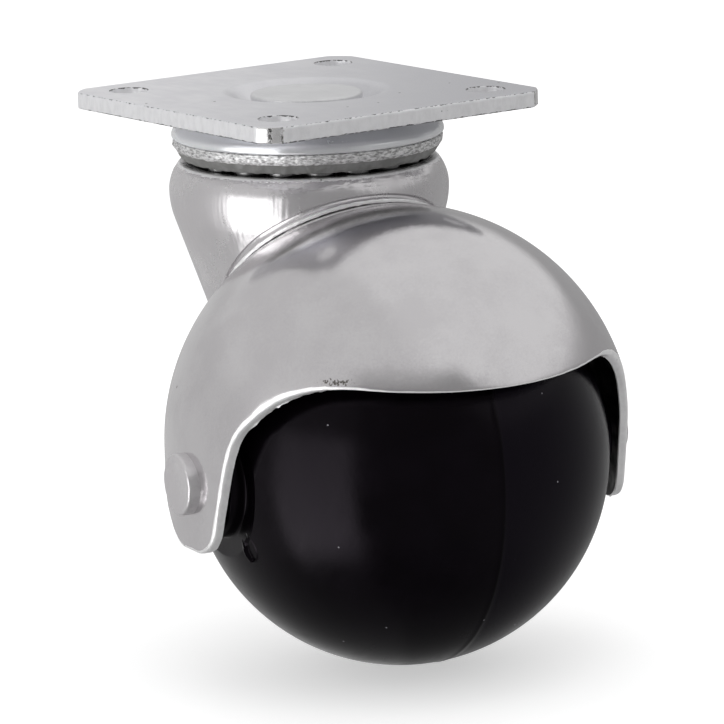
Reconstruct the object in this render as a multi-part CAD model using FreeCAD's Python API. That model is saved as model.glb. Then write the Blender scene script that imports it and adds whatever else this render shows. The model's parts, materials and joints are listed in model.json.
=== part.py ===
import FreeCAD, Part
import math
import os

from FreeCAD import Vector

# Hooded ball castor on a square swivel plate, in millimetres.
# The origin is the centre of the plate's mounting face, on the swivel axis, with +Z up.
# The hood opens towards -Y, and the axle lies along X before the swivel turn.

# Plate
PLATE_SIDE = 42.0
PLATE_THICKNESS = 2.0
PLATE_CORNER_CUT = 2.55
PLATE_CORNER_RADIUS = 0.6
HOLE_SPACING = 31.0
HOLE_DIAMETER = 4.6
DISH_WALL_RUN = 2.2
DISH_BEND_RADIUS = 1.2

# Kingpin: its upper end is riveted over in the dish of the plate
KINGPIN_HEAD_DIAMETER = 13.6
KINGPIN_HEAD_THICKNESS = 1.75
KINGPIN_HEAD_RECESS = 0.25
KINGPIN_HEAD_EDGE = 0.35
KINGPIN_NECK_DIAMETER = 7.0
KINGPIN_SHANK_DIAMETER = 8.0
KINGPIN_FOOT_DIAMETER = 13.0
KINGPIN_FOOT_THICKNESS = 2.0
KINGPIN_FOOT_EDGE = 0.6
THRUST_WASHER_DIAMETER = 16.0
THRUST_WASHER_THICKNESS = 1.0

# Swivel bearing
BEARING_BALL_DIAMETER = 4.0
BEARING_PITCH_DIAMETER = 25.0
BEARING_BALL_SPACE = 0.3
BEARING_GAP = 0.6
RACE_THICKNESS = 2.45
RACE_STEP = 1.3
RACE_LAND = 0.85
RACE_EDGE_TAPER = 1.05
RACE_EDGE_HEIGHT = 0.9
COVER_THICKNESS = 0.9
COVER_COLLAR_WIDTH = 1.3
COVER_LIP_RUN = 0.1
COVER_OVERHANG = 0.2
COVER_BEND_RADIUS = 1.6

# Horn: the drawn cup that carries the bearing and stands on the hood
CROWN_THICKNESS = 1.5
CROWN_LIP_LAND = 1.25
HORN_WALL = 1.5
HORN_LIP_RADIUS = 0.3
HORN_SHOULDER_ANGLE = 39.7
HORN_SHOULDER_RADIUS = 5.0
HORN_STRAIGHT_RUN = 0.1
HORN_BELLY_RADIUS = 10.0
HORN_TAPER = 19.2
HORN_DEPTH = 26.1
HORN_BASE_RADIUS = 13.0
FLANGE_WIDTH = 1.0
FLANGE_THICKNESS = 0.55
FLANGE_FILLET_RADIUS = 0.7

# Hood: a drawn cup with a round end, cut back to a brow and two ears
TRAIL = 23.0
HOOD_TOP_DEPTH = 11.0
HOOD_CLEARANCE = 1.7
HOOD_THICKNESS = 1.2
DOME_RISE = 2.1
BROW_HEIGHT = 13.85
BROW_SLOPE = 6.3
BROW_RADIUS = 10.2
SCOOP_SETBACK = 15.7
SCOOP_SLOPE = 47.0
SCOOP_RADIUS = 7.4
EAR_FRONT = 7.5
EAR_SLOPE = 15.0
EAR_DROP = 7.9
EAR_TOE_RADIUS = 4.0
EAR_HEEL = 2.9
EAR_HEEL_RADIUS = 6.0
REAR_SLOPE = 31.0
REAR_EDGE_HEIGHT = 1.0
REAR_EDGE_RADIUS = 8.0

# Ball and axle
BALL_DIAMETER = 50.0
BALL_FLAT_DIAMETER = 18.4
HUB_DIAMETER = 13.6
HUB_EDGE = 0.4
PARTING_OFFSET = 0.95
PARTING_HEIGHT = 0.06
PARTING_WIDTH = 0.4
GATE_LENGTH = 3.4
GATE_WIDTH = 2.1
GATE_DEPTH = 0.4
GATE_RADIUS = 9.9
GATE_TURN = 47.6
GATE_TWIST = -59.0
AXLE_DIAMETER = 6.0
RIVET_HEAD_DIAMETER = 7.3
RIVET_HEAD_THICKNESS = 1.25
RIVET_HEAD_EDGE = 0.35
RIVET_TAIL_DIAMETER = 8.2
RIVET_TAIL_THICKNESS = 1.6

# Pose of the swivel about the plate
SWIVEL_ANGLE = -10.7

# Clearances
RUNNING_CLEARANCE = 0.08
RACE_CLEARANCE = 0.06
PRESS_CLEARANCE = 0.01
HEAD_CLEARANCE = 0.5
COVER_CLEARANCE = 0.6
THRUST_CLEARANCE = 0.15
HUB_CLEARANCE = 0.5
SEAT_CLEARANCE = 0.02

# Length by which a cutting solid passes the face that it cuts
OVERCUT = 1.0

# Heights of the stack on the swivel axis, from the mounting face down
PLATE_UNDERSIDE = -PLATE_THICKNESS
DISH_FLOOR = -(KINGPIN_HEAD_RECESS + KINGPIN_HEAD_THICKNESS)
BOSS_BOTTOM = DISH_FLOOR - PLATE_THICKNESS
RACE_RIM_TOP = BOSS_BOTTOM - RACE_STEP
RACE_CENTRE_BOTTOM = BOSS_BOTTOM - RACE_THICKNESS
RACE_BOTTOM = RACE_RIM_TOP - RACE_THICKNESS
CROWN_TOP = RACE_BOTTOM - BEARING_GAP
BEARING_HEIGHT = (RACE_BOTTOM + CROWN_TOP) / 2
CROWN_UNDERSIDE = CROWN_TOP - CROWN_THICKNESS
WASHER_TOP = CROWN_UNDERSIDE - THRUST_CLEARANCE
WASHER_BOTTOM = WASHER_TOP - THRUST_WASHER_THICKNESS
KINGPIN_BOTTOM = WASHER_BOTTOM - KINGPIN_FOOT_THICKNESS

# Radii about the swivel axis
PITCH_RADIUS = BEARING_PITCH_DIAMETER / 2
BEARING_BALL_RADIUS = BEARING_BALL_DIAMETER / 2
GROOVE_RADIUS = BEARING_BALL_RADIUS + RACE_CLEARANCE
DISH_FLOOR_RADIUS = KINGPIN_HEAD_DIAMETER / 2 + HEAD_CLEARANCE
DISH_RADIUS = DISH_FLOOR_RADIUS + DISH_WALL_RUN
BOSS_RADIUS = DISH_RADIUS + PLATE_THICKNESS
RACE_BOTTOM_RADIUS = PITCH_RADIUS + BEARING_BALL_RADIUS + RACE_LAND
RACE_RADIUS = RACE_BOTTOM_RADIUS + RACE_EDGE_TAPER
COVER_RADIUS = RACE_RADIUS + COVER_OVERHANG
CROWN_RADIUS = PITCH_RADIUS + BEARING_BALL_RADIUS + CROWN_LIP_LAND

# Outline of the horn: lip, sloping shoulder, upright side and tapering belly meet in tangent arcs
SHOULDER_SLOPE = math.radians(HORN_SHOULDER_ANGLE)
TAPER = math.radians(HORN_TAPER)
LIP_REACH = HORN_LIP_RADIUS * math.tan((math.pi / 2 - SHOULDER_SLOPE) / 2)
SHOULDER_REACH = HORN_SHOULDER_RADIUS * math.tan(SHOULDER_SLOPE / 2)
SHOULDER_LENGTH = LIP_REACH + HORN_STRAIGHT_RUN + SHOULDER_REACH
SHOULDER_HEIGHT = CROWN_TOP - SHOULDER_LENGTH * math.cos(SHOULDER_SLOPE)
BELLY_REACH = HORN_BELLY_RADIUS * math.tan(TAPER / 2)
BELLY_HEIGHT = SHOULDER_HEIGHT - SHOULDER_REACH - HORN_STRAIGHT_RUN - BELLY_REACH
HORN_RADIUS = CROWN_RADIUS + SHOULDER_LENGTH * math.sin(SHOULDER_SLOPE)
HORN_BASE_HEIGHT = CROWN_TOP - HORN_DEPTH

# Ball, hood and axle
BALL_RADIUS = BALL_DIAMETER / 2
HOOD_INNER_RADIUS = BALL_RADIUS + HOOD_CLEARANCE
HOOD_RADIUS = HOOD_INNER_RADIUS + HOOD_THICKNESS
DOME_HEIGHT = -(HOOD_TOP_DEPTH + HOOD_RADIUS)
AXLE_HEIGHT = DOME_HEIGHT - DOME_RISE
AXLE_RADIUS = AXLE_DIAMETER / 2
AXLE_CENTRE = Vector(0, -TRAIL, AXLE_HEIGHT)
DOME_CENTRE = Vector(0, -TRAIL, DOME_HEIGHT)
HUB_RADIUS = HUB_DIAMETER / 2
HUB_END = math.sqrt(HOOD_INNER_RADIUS**2 - HUB_RADIUS**2) - HUB_CLEARANCE
BALL_FLAT = math.sqrt(BALL_RADIUS**2 - (BALL_FLAT_DIAMETER / 2) ** 2)

ORIGIN = Vector(0, 0, 0)
UP = Vector(0, 0, 1)
SIDEWAYS = Vector(1, 0, 0)


def rounded_wire(points, radii, closed=True):
    """Straight runs through the points, with each corner rounded to its own radius."""
    count = len(points)
    corners = []
    for index, (corner, radius) in enumerate(zip(points, radii)):
        if radius == 0:
            corners.append((corner, None, corner))
            continue
        before = (points[index - 1] - corner).normalize()
        after = (points[(index + 1) % count] - corner).normalize()
        half_angle = before.getAngle(after) / 2
        reach = radius / math.tan(half_angle)
        bisector = (before + after).normalize()
        middle = corner + bisector * (radius / math.sin(half_angle) - radius)
        corners.append((corner + before * reach, middle, corner + after * reach))
    edges = []
    for index, (start, middle, end) in enumerate(corners):
        if middle is not None:
            edges.append(Part.Arc(start, middle, end).toShape())
        if index < count - 1 or closed:
            following = corners[(index + 1) % count][0]
            if end.distanceToPoint(following) > Part.Precision.confusion():
                edges.append(Part.makeLine(end, following))
    return Part.Wire(edges)


def profile(corners):
    """Face in the XZ plane from (radius, height, rounding) corners."""
    points = [Vector(radius, 0, height) for radius, height, rounding in corners]
    return Part.Face(rounded_wire(points, [rounding for radius, height, rounding in corners]))


def turned(corners):
    """Solid turned about the swivel axis."""
    return profile(corners).revolve(ORIGIN, UP, 360)


def turned_on_axle(corners):
    """Solid turned about the axle, from (radius, distance along the axle, rounding) corners."""
    shape = turned(corners)
    shape.rotate(ORIGIN, Vector(0, 1, 0), 90)
    shape.translate(AXLE_CENTRE)
    return shape


def ring_groove():
    """Track that the bearing balls run in."""
    return Part.makeTorus(PITCH_RADIUS, GROOVE_RADIUS, Vector(0, 0, BEARING_HEIGHT))


def top_plate():
    """Square plate with clipped corners and punched holes, pressed down to a dish about the kingpin."""
    half = PLATE_SIDE / 2
    corners = []
    for x, y in ((-1, -1), (1, -1), (1, 1), (-1, 1)):
        corner = Vector(x * half, y * half, PLATE_UNDERSIDE)
        clipped = [corner - Vector(0, y, 0) * PLATE_CORNER_CUT, corner - Vector(x, 0, 0) * PLATE_CORNER_CUT]
        corners += clipped if x == y else clipped[::-1]
    outline = rounded_wire(corners, [PLATE_CORNER_RADIUS] * len(corners))
    plate = Part.Face(outline).extrude(UP * PLATE_THICKNESS)
    plate = plate.cut(Part.makeCylinder(BOSS_RADIUS, PLATE_THICKNESS, Vector(0, 0, PLATE_UNDERSIDE)))
    inner_bend = DISH_BEND_RADIUS
    outer_bend = DISH_BEND_RADIUS + PLATE_THICKNESS / 2
    wall_shift = PLATE_THICKNESS * math.tan(math.atan2(-DISH_FLOOR, DISH_WALL_RUN) / 2)
    pressing = turned([
        (KINGPIN_NECK_DIAMETER / 2 + PRESS_CLEARANCE, DISH_FLOOR, 0),
        (DISH_FLOOR_RADIUS, DISH_FLOOR, inner_bend),
        (DISH_RADIUS, 0, outer_bend),
        (BOSS_RADIUS, 0, 0),
        (BOSS_RADIUS, PLATE_UNDERSIDE, 0),
        (DISH_RADIUS - wall_shift + PLATE_THICKNESS, PLATE_UNDERSIDE, 0),
        (DISH_FLOOR_RADIUS + wall_shift, BOSS_BOTTOM, outer_bend),
        (KINGPIN_NECK_DIAMETER / 2 + PRESS_CLEARANCE, BOSS_BOTTOM, 0),
    ])
    plate = plate.fuse(pressing).removeSplitter()
    for x in (-1, 1):
        for y in (-1, 1):
            place = Vector(x * HOLE_SPACING / 2, y * HOLE_SPACING / 2, PLATE_UNDERSIDE)
            plate = plate.cut(Part.makeCylinder(HOLE_DIAMETER / 2, PLATE_THICKNESS, place))
    return plate


def dust_cover():
    """Inverted saucer between the plate and the rim of the race, sloping tangent to the bend of its lip."""
    collar = Vector(BOSS_RADIUS + COVER_CLEARANCE, 0, PLATE_UNDERSIDE)
    shoulder = collar + SIDEWAYS * COVER_COLLAR_WIDTH
    lip_end = Vector(COVER_RADIUS, 0, RACE_RIM_TOP)
    bend_centre = lip_end - SIDEWAYS * COVER_BEND_RADIUS + UP * COVER_LIP_RUN
    towards = bend_centre - shoulder
    slope = math.atan2(towards.z, towards.x) + math.asin(COVER_BEND_RADIUS / towards.Length)
    lip_top = PLATE_UNDERSIDE + (COVER_RADIUS - shoulder.x) * math.tan(slope)
    points = [collar, shoulder, Vector(COVER_RADIUS, 0, lip_top), lip_end]
    outside = rounded_wire(points, [0, COVER_BEND_RADIUS, COVER_BEND_RADIUS, 0], closed=False)
    section = outside.makeOffset2D(-COVER_THICKNESS, fill=True, openResult=True)
    return section.revolve(ORIGIN, UP, 360)


def upper_race():
    """Thick pressed ring with a raised centre, a sheared edge and the upper ball track."""
    bore = KINGPIN_NECK_DIAMETER / 2 + PRESS_CLEARANCE
    step_outside = PITCH_RADIUS - BEARING_BALL_RADIUS
    step_inside = step_outside - RACE_STEP
    body = turned([
        (bore, BOSS_BOTTOM, 0),
        (step_inside, BOSS_BOTTOM, 0),
        (step_outside, RACE_RIM_TOP, 0),
        (RACE_RADIUS, RACE_RIM_TOP, 0),
        (RACE_RADIUS, RACE_RIM_TOP - RACE_EDGE_HEIGHT, 0),
        (RACE_BOTTOM_RADIUS, RACE_BOTTOM, 0),
        (step_outside - RACE_STEP / 2, RACE_BOTTOM, 0),
        (step_inside - RACE_STEP / 2, RACE_CENTRE_BOTTOM, 0),
        (bore, RACE_CENTRE_BOTTOM, 0),
    ])
    return body.cut(ring_groove())


def kingpin():
    head = KINGPIN_HEAD_DIAMETER / 2
    neck = KINGPIN_NECK_DIAMETER / 2
    shank = KINGPIN_SHANK_DIAMETER / 2
    foot = KINGPIN_FOOT_DIAMETER / 2
    return turned([
        (0, -KINGPIN_HEAD_RECESS, 0),
        (head, -KINGPIN_HEAD_RECESS, KINGPIN_HEAD_EDGE),
        (head, DISH_FLOOR, 0),
        (neck, DISH_FLOOR, 0),
        (neck, RACE_CENTRE_BOTTOM, 0),
        (shank, RACE_CENTRE_BOTTOM, 0),
        (shank, WASHER_BOTTOM, 0),
        (foot, WASHER_BOTTOM, 0),
        (foot, KINGPIN_BOTTOM, KINGPIN_FOOT_EDGE),
        (0, KINGPIN_BOTTOM, 0),
    ])


def thrust_washer():
    bore = KINGPIN_SHANK_DIAMETER / 2 + PRESS_CLEARANCE
    outside = THRUST_WASHER_DIAMETER / 2
    return turned([
        (bore, WASHER_BOTTOM, 0),
        (outside, WASHER_BOTTOM, 0),
        (outside, WASHER_TOP, 0),
        (bore, WASHER_TOP, 0),
    ])


def bearing_balls():
    """Full complement of loose balls, a small space apart."""
    count = int(math.tau * PITCH_RADIUS / (BEARING_BALL_DIAMETER + BEARING_BALL_SPACE))
    balls = []
    for index in range(count):
        turn = math.tau * index / count
        place = Vector(PITCH_RADIUS * math.cos(turn), PITCH_RADIUS * math.sin(turn), BEARING_HEIGHT)
        balls.append(Part.makeSphere(BEARING_BALL_RADIUS, place))
    return balls


def dome(radius, skirt):
    """Round-ended upright cylinder about the centre of the hood."""
    top = Vector(0, 0, radius)
    shoulder = Vector(radius * math.sin(math.pi / 4), 0, radius * math.cos(math.pi / 4))
    equator = Vector(radius, 0, 0)
    foot = Vector(radius, 0, -skirt)
    centre = Vector(0, 0, -skirt)
    arc = Part.Arc(top, shoulder, equator).toShape()
    outline = Part.Wire([arc] + Part.makePolygon([equator, foot, centre, top]).Edges)
    shape = Part.Face(outline).revolve(ORIGIN, UP, 360)
    shape.translate(DOME_CENTRE)
    return shape


def base_rounding(base, radius):
    """Rounding at the foot of the horn, no larger than the foot can take."""
    limit = (base - SEAT_CLEARANCE) / math.tan((math.pi / 2 - TAPER) / 2)
    return min(radius, limit)


def horn_outside(grow):
    """Solid within the outside of the horn, grown outwards by a constant width."""
    belly = HORN_RADIUS + grow
    base_height = HORN_BASE_HEIGHT - grow
    base = belly - (BELLY_HEIGHT - base_height) * math.tan(TAPER)
    return turned([
        (0, CROWN_TOP, 0),
        (CROWN_RADIUS + grow, CROWN_TOP, HORN_LIP_RADIUS),
        (belly, SHOULDER_HEIGHT, HORN_SHOULDER_RADIUS),
        (belly, BELLY_HEIGHT, HORN_BELLY_RADIUS),
        (base, base_height, base_rounding(base, HORN_BASE_RADIUS + grow)),
        (0, base_height, 0),
    ])


def horn_cavity():
    """Space inside the horn: under the crown, round the ball track and down inside the wall."""
    track_outside = GROOVE_RADIUS + CROWN_THICKNESS
    track_bottom = BEARING_HEIGHT - track_outside
    wall = HORN_RADIUS - HORN_WALL
    base_height = HORN_BASE_HEIGHT + HORN_WALL
    base = wall - (BELLY_HEIGHT - base_height) * math.tan(TAPER)
    land = PITCH_RADIUS - track_outside
    return turned([
        (0, CROWN_UNDERSIDE, 0),
        (land, CROWN_UNDERSIDE, 0),
        (PITCH_RADIUS - BEARING_BALL_RADIUS, track_bottom, 0),
        (wall, track_bottom, 0),
        (wall, BELLY_HEIGHT, HORN_BELLY_RADIUS - HORN_WALL),
        (base, base_height, base_rounding(base, HORN_BASE_RADIUS - HORN_WALL)),
        (0, base_height, 0),
    ])


def horn():
    """Cup closed by the crown, trimmed on the dome, with a lip that lies on the hood."""
    seat = dome(HOOD_RADIUS + SEAT_CLEARANCE, HOOD_RADIUS)
    outside = horn_outside(0)
    flange = dome(HOOD_RADIUS + FLANGE_THICKNESS, HOOD_RADIUS).common(horn_outside(FLANGE_WIDTH))
    shell = outside.fuse(flange).cut(horn_cavity()).cut(seat).removeSplitter()
    flange_radius = HOOD_RADIUS + FLANGE_THICKNESS
    seam = []
    for edge in shell.Edges:
        middle = edge.valueAt((edge.FirstParameter + edge.LastParameter) / 2)
        on_flange = abs(middle.distanceToPoint(DOME_CENTRE) - flange_radius) < SEAT_CLEARANCE
        on_wall = Part.Vertex(middle).distToShape(outside.Shells[0])[0] < SEAT_CLEARANCE
        if on_flange and on_wall:
            seam.append(edge)
    shell = shell.makeFillet(FLANGE_FILLET_RADIUS, seam)
    bore = KINGPIN_SHANK_DIAMETER / 2 + RUNNING_CLEARANCE
    shell = shell.cut(Part.makeCylinder(bore, HORN_DEPTH, Vector(0, 0, HORN_BASE_HEIGHT)))
    return shell.cut(ring_groove())


def hood_side():
    """Solid that keeps the hood behind its brow and scoop and above its ears and rear edge."""
    reach = HOOD_RADIUS + OVERCUT
    brow_slope = math.tan(math.radians(BROW_SLOPE))
    scoop_slope = math.tan(math.radians(SCOOP_SLOPE))
    ear_slope = math.tan(math.radians(EAR_SLOPE))
    rear_slope = math.tan(math.radians(REAR_SLOPE))
    scoop_run = (SCOOP_SETBACK - EAR_FRONT - BROW_HEIGHT * ear_slope) / (1 - ear_slope * scoop_slope)
    corners = [
        (-reach, BROW_HEIGHT - (reach - SCOOP_SETBACK) * brow_slope, 0),
        (-SCOOP_SETBACK, BROW_HEIGHT, BROW_RADIUS),
        (-SCOOP_SETBACK + scoop_run, BROW_HEIGHT - scoop_run * scoop_slope, SCOOP_RADIUS),
        (-EAR_FRONT + EAR_DROP * ear_slope, -EAR_DROP, EAR_TOE_RADIUS),
        (EAR_HEEL, -EAR_DROP, EAR_HEEL_RADIUS),
        (EAR_HEEL + (EAR_DROP + REAR_EDGE_HEIGHT) / rear_slope, REAR_EDGE_HEIGHT, REAR_EDGE_RADIUS),
        (reach, REAR_EDGE_HEIGHT, 0),
        (reach, reach + DOME_RISE, 0),
        (-reach, reach + DOME_RISE, 0),
    ]
    points = [AXLE_CENTRE + Vector(-reach, along, height) for along, height, rounding in corners]
    outline = rounded_wire(points, [rounding for along, height, rounding in corners])
    return Part.Face(outline).extrude(SIDEWAYS * 2 * reach)


def hood():
    skirt = DOME_RISE + EAR_DROP + OVERCUT
    shell = dome(HOOD_RADIUS, skirt).cut(dome(HOOD_INNER_RADIUS, skirt + OVERCUT))
    shell = shell.common(hood_side())
    reach = HOOD_RADIUS + OVERCUT
    hole = Part.makeCylinder(
        AXLE_RADIUS + PRESS_CLEARANCE, 2 * reach, AXLE_CENTRE - SIDEWAYS * reach, SIDEWAYS
    )
    return shell.cut(hole)


def axle_rivet():
    """Rivet across the ears: a flat head on the -X side and a domed tail on the +X side."""
    head = HOOD_RADIUS + RIVET_HEAD_THICKNESS
    tail = HOOD_RADIUS + RIVET_TAIL_THICKNESS
    pin = turned_on_axle([
        (0, -head, 0),
        (RIVET_HEAD_DIAMETER / 2, -head, RIVET_HEAD_EDGE),
        (RIVET_HEAD_DIAMETER / 2, -HOOD_INNER_RADIUS, 0),
        (AXLE_RADIUS, -HOOD_INNER_RADIUS, 0),
        (AXLE_RADIUS, HOOD_INNER_RADIUS, 0),
        (RIVET_TAIL_DIAMETER / 2, HOOD_INNER_RADIUS, 0),
        (RIVET_TAIL_DIAMETER / 2, tail, RIVET_TAIL_THICKNESS),
        (0, tail, 0),
    ])
    skirt = DOME_RISE + EAR_DROP
    core = dome(HOOD_RADIUS + SEAT_CLEARANCE, skirt)
    shank = Part.makeCylinder(
        AXLE_RADIUS, 2 * HOOD_RADIUS, AXLE_CENTRE - SIDEWAYS * HOOD_RADIUS, SIDEWAYS
    )
    return pin.cut(core.cut(shank)).fuse(shank).removeSplitter()


def ball_gate():
    """Leaf-shaped sunken gate mark beside the flat of the ball's -X end."""
    half = GATE_LENGTH / 2
    tip = Vector(0, half, 0)
    tail = Vector(0, -half, 0)
    side = Vector(GATE_WIDTH / 2, 0, 0)
    leaf = Part.Wire([
        Part.Arc(tip, side, tail).toShape(),
        Part.Arc(tail, side * -1, tip).toShape(),
    ])
    pocket = Part.Face(leaf).extrude(UP * (GATE_DEPTH + OVERCUT))
    pocket.translate(UP * (BALL_RADIUS - GATE_DEPTH))
    tilt = math.degrees(math.asin(GATE_RADIUS / BALL_RADIUS))
    pocket.rotate(ORIGIN, UP, GATE_TWIST)
    pocket.rotate(ORIGIN, SIDEWAYS, tilt)
    pocket.rotate(ORIGIN, Vector(0, 1, 0), -90)
    pocket.rotate(ORIGIN, SIDEWAYS, GATE_TURN)
    pocket.translate(AXLE_CENTRE)
    return pocket


def ball():
    """One moulding: flat ends, hub bosses, a fine parting ridge and the gate mark."""
    sphere = Part.makeSphere(BALL_RADIUS, AXLE_CENTRE)
    between_flats = Part.makeCylinder(
        BALL_RADIUS + OVERCUT, 2 * BALL_FLAT, AXLE_CENTRE - SIDEWAYS * BALL_FLAT, SIDEWAYS
    )
    hub = turned_on_axle([
        (0, -HUB_END, 0),
        (HUB_RADIUS, -HUB_END, HUB_EDGE),
        (HUB_RADIUS, HUB_END, HUB_EDGE),
        (0, HUB_END, 0),
    ])
    ridge_foot = BALL_RADIUS - PARTING_HEIGHT
    ridge = turned_on_axle([
        (0, PARTING_OFFSET - PARTING_WIDTH / 2, 0),
        (ridge_foot, PARTING_OFFSET - PARTING_WIDTH / 2, 0),
        (BALL_RADIUS + PARTING_HEIGHT, PARTING_OFFSET, 0),
        (ridge_foot, PARTING_OFFSET + PARTING_WIDTH / 2, 0),
        (0, PARTING_OFFSET + PARTING_WIDTH / 2, 0),
    ])
    body = sphere.common(between_flats).fuse([hub, ridge])
    reach = HUB_END + OVERCUT
    bore = Part.makeCylinder(
        AXLE_RADIUS + RUNNING_CLEARANCE, 2 * reach, AXLE_CENTRE - SIDEWAYS * reach, SIDEWAYS
    )
    return body.cut([bore, ball_gate()]).removeSplitter()


def main():
    os.makedirs("parts", exist_ok=True)
    fixed = {
        "top_plate": top_plate(),
        "dust_cover": dust_cover(),
        "upper_race": upper_race(),
        "kingpin": kingpin(),
        "thrust_washer": thrust_washer(),
    }
    for number, bearing_ball in enumerate(bearing_balls(), start=1):
        fixed[f"bearing_ball_{number:02d}"] = bearing_ball
    swivelling = {
        "horn": horn(),
        "hood": hood(),
        "axle_rivet": axle_rivet(),
        "ball": ball(),
    }
    for shape in swivelling.values():
        shape.rotate(ORIGIN, UP, SWIVEL_ANGLE)
    for name, shape in {**fixed, **swivelling}.items():
        shape.exportStep(f"parts/{name}.step")


main()
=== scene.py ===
import bisect
import json
from math import acos, asin, atan2, ceil, cos, hypot, pi, radians, sin, sqrt, tan, tau

import bmesh
import bpy
from mathutils import Matrix, Vector, noise


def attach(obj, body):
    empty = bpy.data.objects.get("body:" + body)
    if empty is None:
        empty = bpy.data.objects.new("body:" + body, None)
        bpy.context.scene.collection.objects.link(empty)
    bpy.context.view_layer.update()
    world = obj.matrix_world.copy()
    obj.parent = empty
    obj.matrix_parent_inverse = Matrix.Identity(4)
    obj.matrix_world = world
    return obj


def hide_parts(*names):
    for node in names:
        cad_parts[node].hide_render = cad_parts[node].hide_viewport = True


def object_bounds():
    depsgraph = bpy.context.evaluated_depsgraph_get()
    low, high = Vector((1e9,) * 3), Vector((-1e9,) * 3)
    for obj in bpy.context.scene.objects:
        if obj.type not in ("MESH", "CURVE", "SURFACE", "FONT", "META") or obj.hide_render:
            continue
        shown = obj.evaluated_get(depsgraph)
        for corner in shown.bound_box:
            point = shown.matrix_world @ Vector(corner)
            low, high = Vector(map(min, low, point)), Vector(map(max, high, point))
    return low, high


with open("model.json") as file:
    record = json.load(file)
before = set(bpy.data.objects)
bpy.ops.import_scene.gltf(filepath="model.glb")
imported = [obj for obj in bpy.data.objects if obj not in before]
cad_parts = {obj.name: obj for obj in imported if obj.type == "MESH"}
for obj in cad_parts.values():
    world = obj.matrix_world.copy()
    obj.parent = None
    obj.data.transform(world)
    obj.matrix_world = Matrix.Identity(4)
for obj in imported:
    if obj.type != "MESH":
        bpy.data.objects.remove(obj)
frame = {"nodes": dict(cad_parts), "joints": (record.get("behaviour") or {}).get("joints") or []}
cad_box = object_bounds()

# Sizes are in millimetres, as in the part's source, and meshes are scaled to metres as they are made.
MM = 0.001
PER_MM = 1000.0

# Plate
PLATE_SIDE = 42.0
PLATE_THICKNESS = 2.0
PLATE_CORNER_CUT = 2.55
PLATE_CORNER_RADIUS = 0.6
PLATE_CORNER_BULGE = 0.3
PLATE_TOP_EDGE = 0.28
PLATE_ROUND_REACH = 1.3
PLATE_ROUND = ((PLATE_ROUND_REACH, 0.0), (0.35, 0.25), (0.06, 0.8))  # inset and depth, in top edges
PLATE_FOOT_EDGE = 0.14
PLATE_MARGIN = 0.5
PLATE_TEAR = 0.05
PLATE_TEAR_BIAS = 0.25
SHADE_REACH = 26.0
HOLE_SPACING = 31.0
HOLE_RADIUS = 2.3
HOLE_ROLLOVER = 0.1
HOLE_BREAKOUT = 0.7  # share of the thickness at which the punched hole widens
HOLE_TEAR = 0.07
DISH_FLOOR = -2.0
DISH_FLOOR_RADIUS = 7.3
DISH_RADIUS = 9.5
DISH_EDGE_RADIUS = 11.5
DISH_BEND_RADIUS = 1.2
BOSS_BOTTOM = -4.0
BOSS_SHIFT = 0.83
NECK_RADIUS = 3.5

# Kingpin
KINGPIN_HEAD_RADIUS = 6.8
KINGPIN_HEAD_TOP = -0.25
KINGPIN_HEAD_EDGE = 0.35
KINGPIN_SHANK_RADIUS = 4.0
KINGPIN_FOOT_RADIUS = 6.5
KINGPIN_FOOT_TOP = -11.0
KINGPIN_FOOT_EDGES = (0.2, 0.6)
KINGPIN_BOTTOM = -13.0
KINGPIN_DENT = 0.05

# Swivel bearing and dust cover
RACE_RIM_TOP = -5.3
RACE_BOTTOM = -7.75
RACE_CENTRE_BOTTOM = -6.45
RACE_RADIUS = 16.4
RACE_BOTTOM_RADIUS = 15.35
RACE_EDGE_HEIGHT = 0.9
RACE_BRIGHT_LIP = 0.35
RACE_STEP_RADIUS = 10.5
RACE_STEP = 1.3
RACE_STEP_ROUND = 0.2
RACE_EDGE_ROUNDS = (0.22, 0.35, 0.18)
RACE_TEAR = 0.16
PITCH_RADIUS = 12.5
GROOVE_RADIUS = 2.06
GROOVE_LAND = 0.05
BEARING_HEIGHT = -8.05
COVER_COLLAR = 12.1
COVER_SHOULDER = 13.4
COVER_RADIUS = 16.6
COVER_LIP_TOP = -4.4
COVER_BEND_RADIUS = 1.6
COVER_THICKNESS = 0.9
COVER_LIP_BEND = 1.1
COVER_LIP_ROUND = 0.2

# Horn
CROWN_TOP = -8.35
CROWN_UNDERSIDE = -9.85
CROWN_RADIUS = 15.75
CROWN_RIM = 0.9
CROWN_EDGE = 0.3
CROWN_BORE = 4.08
HORN_LIP_RADIUS = 0.3
HORN_LIP_DEPTH = 1.2
HORN_LIP_TEAR = 0.05
HORN_RADIUS = 17.06
HORN_WALL = 1.5
SHOULDER_HEIGHT = -9.93
SHOULDER_RADIUS = 5.0
BELLY_HEIGHT = -13.5
BELLY_RADIUS = 10.0
HORN_TAPER = radians(19.2)
HORN_BASE_HEIGHT = -34.45
HORN_BASE_RADIUS = 13.0
TRACK_BOTTOM = -11.61
FLANGE_WIDTH = 1.0
FLANGE_THICKNESS = 0.55
FLANGE_EDGE = 0.2
FLANGE_FILLET = 0.7
FLANGE_LIFT = 0.16
FLANGE_GAP = 0.5
FLANGE_EDGE_START = 0.1
FLANGE_TEAR = 0.12
SEAT_CLEARANCE = 0.02

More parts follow.
